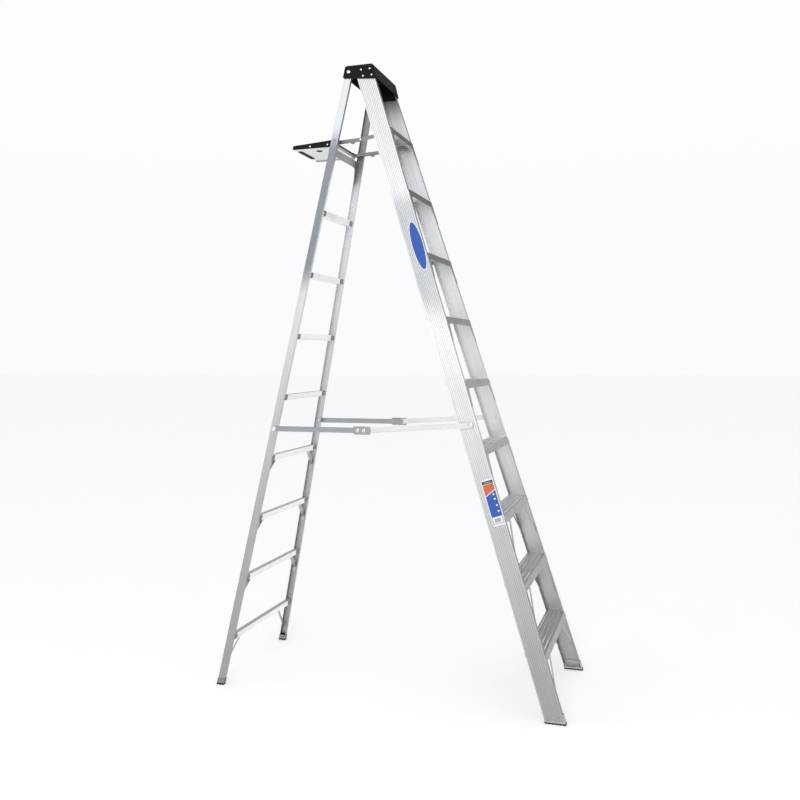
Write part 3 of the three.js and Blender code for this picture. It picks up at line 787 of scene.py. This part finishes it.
# Outlines of (inwards, upwards) points in millimetres, from the rail's face and the bar's middle.
CLAMP = ((27, -12.5), (44, -12.5), (50, -8), (50, 8), (44, 12.5), (27, 12.5))
CLAMP_THICKNESS = 2.0 * MM
CLAMP_GAP = 0.1 * MM
CLAMP_RIVET_IN = 38 * MM
RAIL_RIVET_IN = 13 * MM
RIVET_SPREAD = 7 * MM
KNEE_STRAP = (
    (56, -14.4), (84, -14.4), (84, -17), (80, -18.6), (6.4, -94), (6.4, -116), (3.6, -116),
    (3.6, -92.5), (75, -17), (56, -17),
)
KNEE_STRAP_HALF_WIDTH = 9 * MM


def bar_height(number):
    """The height of a rear bar's middle."""
    low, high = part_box(f"rear_bar_{number}")
    return (low.z + high.z) / 2


def bar_clamps(side_name, side):
    """A clamp on each end of the bars below the shelf, with rivets in the bar and in the rail."""
    place = on_rear(side)
    clamps = bmesh.new()
    rivets = bmesh.new()
    face = -BAR_HALF_DEPTH
    for number in range(1, BAR_COUNT):
        z = bar_height(number)
        prism(clamps, at_height(CLAMP, z), face - CLAMP_THICKNESS, face - CLAMP_GAP, place)
        for h in (-RIVET_SPREAD, RIVET_SPREAD):
            heads = (
                (CLAMP_RIVET_IN, face - CLAMP_THICKNESS, -1),
                (RAIL_RIVET_IN, -REAR_HALF_DEPTH, -1),
                (RAIL_RIVET_IN, REAR_HALF_DEPTH, 1),
            )
            for u, v, way in heads:
                rivet(rivets, place(u, v, z + h), (0, way, 0), *FLANGE_RIVET)
    # The clamps take the dark metal of painted shade.
    piece = piece_from(clamps, f"rear_bar_clamps_{side_name}", SHADED_CLAMP_METAL, "rear_section",
                       "brace_aluminium")
    rounded(piece, STRAP_BEVEL)
    piece_from(rivets, f"rear_bar_rivets_{side_name}", DULL_STEEL, "rear_section", "rivet_steel")


def bar_knee_straps(side_name, side):
    """A bent strap under each end of the second to fourth bars, down to the rail's web."""
    place = on_rear(side)
    bm = bmesh.new()
    for number in range(2, BRACED_BARS + 1):
        outline = at_height(KNEE_STRAP, bar_height(number))
        prism(bm, outline, -KNEE_STRAP_HALF_WIDTH, KNEE_STRAP_HALF_WIDTH, place)
    piece = piece_from(bm, f"rear_knee_straps_{side_name}", BRACE_METAL, "rear_section",
                       "brace_aluminium")
    rounded(piece, STRAP_BEVEL)


# ---- spreaders --------------------------------------------------------------------------------

BEAD_RADIUS = 2.6 * MM
BEAD_HEIGHT = 1.1 * MM
BEAD_SUNK = 0.2 * MM
BEAD_STATIONS = 24
BEAD_CORNERS = 9
BEAD_FADE = 9
BEAD_END_WIDTH = 0.3
BEAD_START = 0.07
BEAD_STOP = 0.92
PIVOT_RIVET = (7.6 * MM, 3.2 * MM)
PIVOT_RIVET_OUT = 0.15 * MM
ELBOW_RIVET = (5.2 * MM, 1.6 * MM)
ELBOW_RIVET_SUNK = 1 * MM
ELBOW_BEHIND_PLATE = 31 * MM
ELBOW_RIVET_PITCH = 31 * MM


def pressed_bead(bm, start, stop, out, side):
    """A half-round bead on a side face from one point to another, fading out at both ends."""
    rise = (stop - start).normalized()
    across = Vector((0, -rise.z, rise.y))
    rings = []
    for i in range(BEAD_STATIONS + 1):
        share = i / BEAD_STATIONS
        swell = math.sin(min(1, BEAD_FADE * min(share, 1 - share)) * math.pi / 2)
        half_wide = BEAD_RADIUS * (BEAD_END_WIDTH + (1 - BEAD_END_WIDTH) * swell)
        ring = []
        for k in range(BEAD_CORNERS):
            angle = math.pi * k / (BEAD_CORNERS - 1)
            point = start.lerp(stop, share)
            point += across * half_wide * math.cos(angle)
            height = (BEAD_HEIGHT * math.sin(angle) + BEAD_SUNK) * swell
            point.x = side * (out - BEAD_SUNK + height)
            ring.append(point)
        rings.append(ring)
    loft(bm, rings)


def elbow_of(side_name):
    """The elbow of a spreader, in the middle plane."""
    plate = f"spreader_elbow_{side_name}"
    return Vector((0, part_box(plate)[0].y + ELBOW_BEHIND_PLATE, middle_of(plate).z))


def spreader_bead(side_name, side):
    """A pressed bead along the front arm."""
    pivot = middle_of(f"spreader_front_pin_{side_name}")
    pivot.x = 0
    run = elbow_of(side_name) - pivot
    bm = bmesh.new()
    pressed_bead(bm, pivot + run * BEAD_START, pivot + run * BEAD_STOP,
                 outer_face(f"spreader_front_arm_{side_name}"), side)
    piece_from(bm, f"spreader_front_bead_{side_name}", FRONT_ARM_METAL,
               f"spreader_front_{side_name}", "spreader_aluminium")


def spreader_rivets(side_name, side):
    """Rolled rims on the two pivot rivets and the two rivets of the elbow plate."""
    for end in ("front", "rear"):
        centre = middle_of(f"spreader_{end}_pin_{side_name}")
        centre.x = side * (outer_face(f"spreader_{end}_arm_{side_name}") + PIVOT_RIVET_OUT)
        bm = bmesh.new()
        ringed_rivet(bm, centre, (side, 0, 0), *PIVOT_RIVET)
        piece_from(bm, f"spreader_{end}_rivet_{side_name}", PIN_STEEL, f"{end}_section",
                   "rivet_steel")
    elbow = elbow_of(side_name)
    face = outer_face(f"spreader_elbow_{side_name}") - ELBOW_RIVET_SUNK
    bm = bmesh.new()
    for step in (0, ELBOW_RIVET_PITCH):
        centre = Vector((side * face, elbow.y + step, elbow.z))
        ringed_rivet(bm, centre, (side, 0, 0), *ELBOW_RIVET)
    piece_from(bm, f"spreader_elbow_rivets_{side_name}", PIN_STEEL,
               f"spreader_front_{side_name}", "rivet_steel")


# ---- pail shelf -------------------------------------------------------------------------------

TRAY_LOW, TRAY_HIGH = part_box("shelf_tray")
SLOT = (TRAY_HIGH.y - 24 * MM, TRAY_HIGH.y - 10 * MM)
SLOT_HALF_LENGTH = 80 * MM
SLOT_LIP = 5 * MM
SLOT_LINER_RISE = 14 * MM
HOOK_HOLE = Vector((-60, 390, 0)) * MM
HOOK_HOLE_RADIUS = 11 * MM
HOOK_HOLE_LIP = 4 * MM
HOOK_LINER_RISE = 10 * MM
HOOK_HOLE_LONGER = 0.01 * MM
STADIUM_STEPS = 10
LINER = 1.8 * MM
LINER_CLEARANCE = 0.2 * MM
LINER_LIP_THICKNESS = 1.2 * MM
LINER_LIP_GAP = 0.05 * MM

# Rivets as above; the lip's outline is (x, z) points in millimetres.
TRIM_RIVET = (4.2 * MM, 2.0 * MM)
TRIM_RIVETS = ((403.5, 2561), (315, 2564))
LIP = (
    (137.0, 2555.9), (137.0, 2550.4), (143.3, 2550.4), (143.3, 2550.9), (137.8, 2550.9),
    (137.8, 2555.9),
)
LIP_SPAN = (287 * MM, 488 * MM)
KNEE_RIVET = (5.4 * MM, 2.2 * MM)
KNEE_RIVET_PLACE = (145.9 * MM, 150 * MM, 2574 * MM)


def stadium(centre, half_length, radius):
    """A round-ended outline along X."""
    points = []
    for end in (1, -1):
        middle = centre.x + end * (half_length - radius)
        for i in range(STADIUM_STEPS + 1):
            angle = math.pi * (i / STADIUM_STEPS - 0.5) + (0 if end > 0 else math.pi)
            points.append(Vector((middle + radius * math.cos(angle),
                                  centre.y + radius * math.sin(angle), 0)))
    return points


def liner(name, lip, outer, inner, high):
    """A moulded lining in a hole of the tray, with a lip under the floor."""
    bm = bmesh.new()
    low = TRAY_LOW.z - LINER_LIP_THICKNESS
    seat = TRAY_LOW.z - LINER_LIP_GAP
    profile = (
        (inner, low), (inner, high), (outer, high), (outer, seat), (lip, seat), (lip, low),
    )
    rings = [[bm.verts.new((p.x, p.y, z)) for p in points] for points, z in profile]
    for one, two in zip(rings, rings[1:] + rings[:1]):
        wrap(bm, one, two)
    piece_from(bm, name, TRIM_PLASTIC, "pail_shelf", "trim_plastic")


def shelf_liners():
    """Black liners in the grip slot and the hook hole."""
    middle = Vector((0, (SLOT[0] + SLOT[1]) / 2, 0))
    half = (SLOT[1] - SLOT[0]) / 2
    grip = [stadium(middle, SLOT_HALF_LENGTH + grow, half + grow)
            for grow in (SLOT_LIP, -LINER_CLEARANCE, -LINER)]
    liner("grip_slot_liner", *grip, TRAY_LOW.z + SLOT_LINER_RISE)
    ring = [stadium(HOOK_HOLE, HOOK_HOLE_RADIUS + grow + HOOK_HOLE_LONGER, HOOK_HOLE_RADIUS + grow)
            for grow in (HOOK_HOLE_LIP, -LINER_CLEARANCE, -LINER)]
    liner("hook_hole_liner", *ring, TRAY_LOW.z + HOOK_LINER_RISE)


def trim_rivets(side_name, side):
    """Two bright rivets through each side trim."""
    face = outer_face(f"shelf_side_trim_{side_name}")
    bm = bmesh.new()
    for y, z in TRIM_RIVETS:
        rivet(bm, Vector((side * face, y * MM, z * MM)), (side, 0, 0), *TRIM_RIVET)
    piece_from(bm, f"shelf_trim_rivets_{side_name}", PIN_STEEL, "pail_shelf", "rivet_steel")


def shelf_lip(side_name, side):
    """The tray's rolled edge, which covers a side trim from below."""
    bm = bmesh.new()
    outline = [(x * MM, z * MM) for x, z in LIP]
    prism(bm, outline, *LIP_SPAN, lambda x, y, z: Vector((side * x, y, z)))
    piece_from(bm, f"shelf_lip_{side_name}", SHELF_METAL, "pail_shelf", "shelf_aluminium")


def knee_rivet(side_name, side):
    """A bright rivet where the shelf link meets the side arm."""
    bm = bmesh.new()
    x, y, z = KNEE_RIVET_PLACE
    rivet(bm, Vector((side * x, y, z)), (side, 0, 0), *KNEE_RIVET)
    piece_from(bm, f"shelf_knee_rivet_{side_name}", PIN_STEEL, f"shelf_link_{side_name}",
               "rivet_steel")


# ---- printed films on the left front rail -----------------------------------------------------

FILM = 0.12 * MM
FILM_GAP = 0.02 * MM
ELLIPSE_STEPS = 72
DOT_STEPS = 28
DOT_RADIUS = 4.2
OVAL = {"v": 28.5 * MM, "z": 2063 * MM, "across": 27.5, "along": 116}
OVAL_RIM = (3, 4)
LABEL = {"v": 29 * MM, "z": 930 * MM, "across": 28, "along": 103}

# Each row: block, ink, layer, and its (across, up) corners in millimetres.
LABEL_BLOCKS = (
    ("header", "label_black", 1, ((-24.5, 83), (24.5, 83), (24.5, 96), (-24.5, 96))),
    ("header_bar", "label_white", 2, ((-16, 88.6), (16, 88.6), (16, 90.4), (-16, 90.4))),
    ("upper", "label_orange", 1, ((-24.5, 54), (24.5, 32), (24.5, 81), (-24.5, 81))),
    ("lower", "label_blue", 1, ((-24.5, -64), (24.5, -64), (24.5, 28), (-24.5, 50))),
    ("box_rim", "label_blue", 1, ((-24.5, -95), (24.5, -95), (24.5, -66), (-24.5, -66))),
    ("box", "label_white", 2, ((-22.5, -93), (22.5, -93), (22.5, -66), (-22.5, -66))),
    ("box_panel", "label_grey", 3, ((-13, -88), (15, -88), (15, -72), (-13, -72))),
)
LABEL_DOTS = ((-12, 33), (-12, 13), (-13, -16), (-13, -42))
LABEL_DOT_LAYER = 2
FILM_COLOURS = {
    "label_white": (0.86, 0.86, 0.85, 1),
    "label_black": (0.020, 0.020, 0.025, 1),
    "label_orange": (0.62, 0.14, 0.045, 1),
    "label_blue": (0.025, 0.10, 0.42, 1),
    "label_grey": (0.42, 0.42, 0.42, 1),
    "oval_blue": (0.010, 0.085, 0.42, 1),
}


def ellipse(across, along, steps=ELLIPSE_STEPS):
    """An ellipse's outline about its own middle."""
    angles = [2 * math.pi * i / steps for i in range(steps)]
    return [(across * math.cos(angle), along * math.sin(angle)) for angle in angles]


def film(name, ink, outline, layer, place):
    """One printed layer, with its own thickness, laid on the web."""
    bm = bmesh.new()
    points = [(c * MM, s * MM) for c, s in outline]
    low = FILM * layer
    prism(bm, points, low + FILM_GAP, low + FILM, place)
    piece = piece_from(bm, name, ink, "front_section", "front_rail_aluminium")
    for polygon in piece.data.polygons:
        polygon.use_smooth = False


def oval_films(inks):
    """A plain blue oval with a white rim."""
    place = on_web(SIDES["left"], OVAL["v"], OVAL["z"])
    across, along = OVAL["across"], OVAL["along"]
    field = ellipse(across - OVAL_RIM[0], along - OVAL_RIM[1])
    film("oval_rim", inks["label_white"], ellipse(across, along), 0, place)
    film("oval_field", inks["oval_blue"], field, 1, place)


def label_films(inks):
    """A plain label of colour blocks and dots, with no lettering."""
    place = on_web(SIDES["left"], LABEL["v"], LABEL["z"])
    wide, tall = LABEL["across"], LABEL["along"]
    sheet = ((-wide, -tall), (wide, -tall), (wide, tall), (-wide, tall))
    film("label_sheet", inks["label_white"], sheet, 0, place)
    for name, ink, layer, outline in LABEL_BLOCKS:
        film(f"label_{name}", inks[ink], outline, layer, place)
    for i, (c, s) in enumerate(LABEL_DOTS):
        dot = [(c + x, s + y) for x, y in ellipse(DOT_RADIUS, DOT_RADIUS, DOT_STEPS)]
        film(f"label_dot_{i + 1}", inks["label_white"], dot, LABEL_DOT_LAYER, place)


SIDE_DETAILS = (
    step_rivets, shoe_rivets, corner_straps, cap_rivets, bar_clamps, bar_knee_straps,
    spreader_bead, spreader_rivets, trim_rivets, shelf_lip, knee_rivet,
)
for side_name, side in SIDES.items():
    for build in SIDE_DETAILS:
        build(side_name, side)
shelf_liners()
for number in range(1, STEP_COUNT + 1):
    worn_ribs(number)
film_inks = {name: printed(name, colour) for name, colour in FILM_COLOURS.items()}
oval_films(film_inks)
label_films(film_inks)

# ---- view -------------------------------------------------------------------------------------

CAMERA_PLACE = Vector((-4.03526, -1.26782, 1.5757))
CAMERA_YAW = math.radians(-72.43)
CAMERA_PITCH = math.radians(-2.97)
CAMERA_ROLL = math.radians(-0.36)
CAMERA_LENS = 39.54
CAMERA_SENSOR = 36
CAMERA_REACH = 200


def stand_camera():
    """The camera at the height and side that the ladder is seen from."""
    flat = math.cos(CAMERA_PITCH)
    look = Vector((-math.sin(CAMERA_YAW) * flat, math.cos(CAMERA_YAW) * flat,
                   math.sin(CAMERA_PITCH)))
    right = Vector((math.cos(CAMERA_YAW), math.sin(CAMERA_YAW), 0))
    up = right.cross(look)
    turned_right = right * math.cos(CAMERA_ROLL) + up * math.sin(CAMERA_ROLL)
    turned_up = up * math.cos(CAMERA_ROLL) - right * math.sin(CAMERA_ROLL)
    lens = bpy.data.cameras.new("view")
    lens.lens = CAMERA_LENS
    lens.sensor_width = CAMERA_SENSOR
    lens.clip_end = CAMERA_REACH
    camera = bpy.data.objects.new("view", lens)
    basis = Matrix((turned_right, turned_up, -look)).transposed().to_4x4()
    camera.matrix_world = Matrix.Translation(CAMERA_PLACE) @ basis
    bpy.context.scene.collection.objects.link(camera)
    bpy.context.scene.camera = camera


# ---- floor and light --------------------------------------------------------------------------

FLOOR_REACH = 60
FLOOR_DROP = 0.2 * MM
FLOOR_GLOW = 0.325
FLOOR_MOTTLE = 3.0

KEY_PLACE = Vector((-5.5, -0.5, 3.6))
KEY_TARGET = Vector((0, -0.2, 1.6))
KEY_SIZE = 2.0
KEY_POWER = 70

# How bright each part of the room is, and the directions between which it fades into the next.
BACKDROP_LIGHT = 0.92
CEILING_LIGHT = 0.22
OVERHEAD_LIGHT = 0.80
SIDE_LIGHT = 0.95
ROOM_TINT = (0.97, 0.985, 1.0, 1)
AWAY_FADE = (-0.35, 0.35)
CEILING_FADE = (0.08, 0.30)
OVERHEAD_FADE = (0.45, 0.90)
SIDE_FADE = (0.55, 0.90)

# What the camera itself sees behind the ladder.
BACKDROP_LOW = 0.958
BACKDROP_HIGH = 0.985
BACKDROP_FADE = (0.0, 0.35)


def lay_floor():
    """A plain pale floor, wide enough to reach the horizon."""
    bm = bmesh.new()
    corners = [bm.verts.new((x * FLOOR_REACH, y * FLOOR_REACH, -FLOOR_DROP))
               for x, y in ((-1, -1), (1, -1), (1, 1), (-1, 1))]
    bm.faces.new(corners)
    mesh = bpy.data.meshes.new("floor")
    bm.to_mesh(mesh)
    bm.free()
    f = Finish("floor_paint", 0.0, 0.85)
    mottle = f.noise(f.place(), FLOOR_MOTTLE, 5.0, 0.6)
    f.set("Base Color", f.mix(mottle, grey(0.86), grey(0.90)))
    f.surface.inputs["Emission Color"].default_value = grey(1.0)
    f.surface.inputs["Emission Strength"].default_value = FLOOR_GLOW
    mesh.materials.append(f.material)
    floor = bpy.data.objects.new("floor", mesh)
    bpy.context.scene.collection.objects.link(floor)


def hang_key_light():
    """One soft square lamp on the left."""
    light = bpy.data.lights.new("key", "AREA")
    light.shape = "RECTANGLE"
    light.size = KEY_SIZE
    light.size_y = KEY_SIZE
    light.energy = KEY_POWER
    lamp = bpy.data.objects.new("key", light)
    lamp.location = KEY_PLACE
    lamp.rotation_euler = (KEY_TARGET - KEY_PLACE).to_track_quat("-Z", "Y").to_euler()
    bpy.context.scene.collection.objects.link(lamp)


def room_level(room, x, z):
    """The room's brightness: a backdrop low on the right, a dark ceiling and a pale left side."""
    away = room.spread(x, *AWAY_FADE)
    ceiling = room.spread(z, *CEILING_FADE, 0.0, BACKDROP_LIGHT - CEILING_LIGHT)
    overhead = room.spread(z, *OVERHEAD_FADE, 0.0, OVERHEAD_LIGHT - CEILING_LIGHT)
    far = room.math("ADD", room.math("SUBTRACT", BACKDROP_LIGHT, ceiling), overhead)
    near = room.spread(z, *SIDE_FADE, SIDE_LIGHT, OVERHEAD_LIGHT)
    return room.math("ADD", room.times(far, away),
                     room.times(near, room.math("SUBTRACT", 1.0, away)))


def light_the_room():
    """The room's soft light, and a plain pale backdrop for the camera."""
    world = bpy.data.worlds.new("room")
    world.use_nodes = True
    room = Nodes(world.node_tree)
    x, _, z = room.axes(room.add("ShaderNodeTexCoord").outputs["Generated"])
    lit = world.node_tree.nodes["Background"]
    room.fill(lit, {0: ROOM_TINT, 1: room_level(room, x, z)})
    shown = room.mix(room.spread(z, *BACKDROP_FADE), grey(BACKDROP_LOW, 0.01), grey(BACKDROP_HIGH))
    backdrop = room.add("ShaderNodeBackground", {0: shown})
    seen = room.add("ShaderNodeLightPath").outputs["Is Camera Ray"]
    both = room.add("ShaderNodeMixShader", {0: seen, 1: lit.outputs[0], 2: backdrop.outputs[0]})
    room.fill(world.node_tree.nodes["World Output"], {0: both.outputs[0]})
    bpy.context.scene.world = world


stand_camera()
lay_floor()
light_the_room()
hang_key_light()
bpy.context.scene.view_settings.view_transform = "Standard"
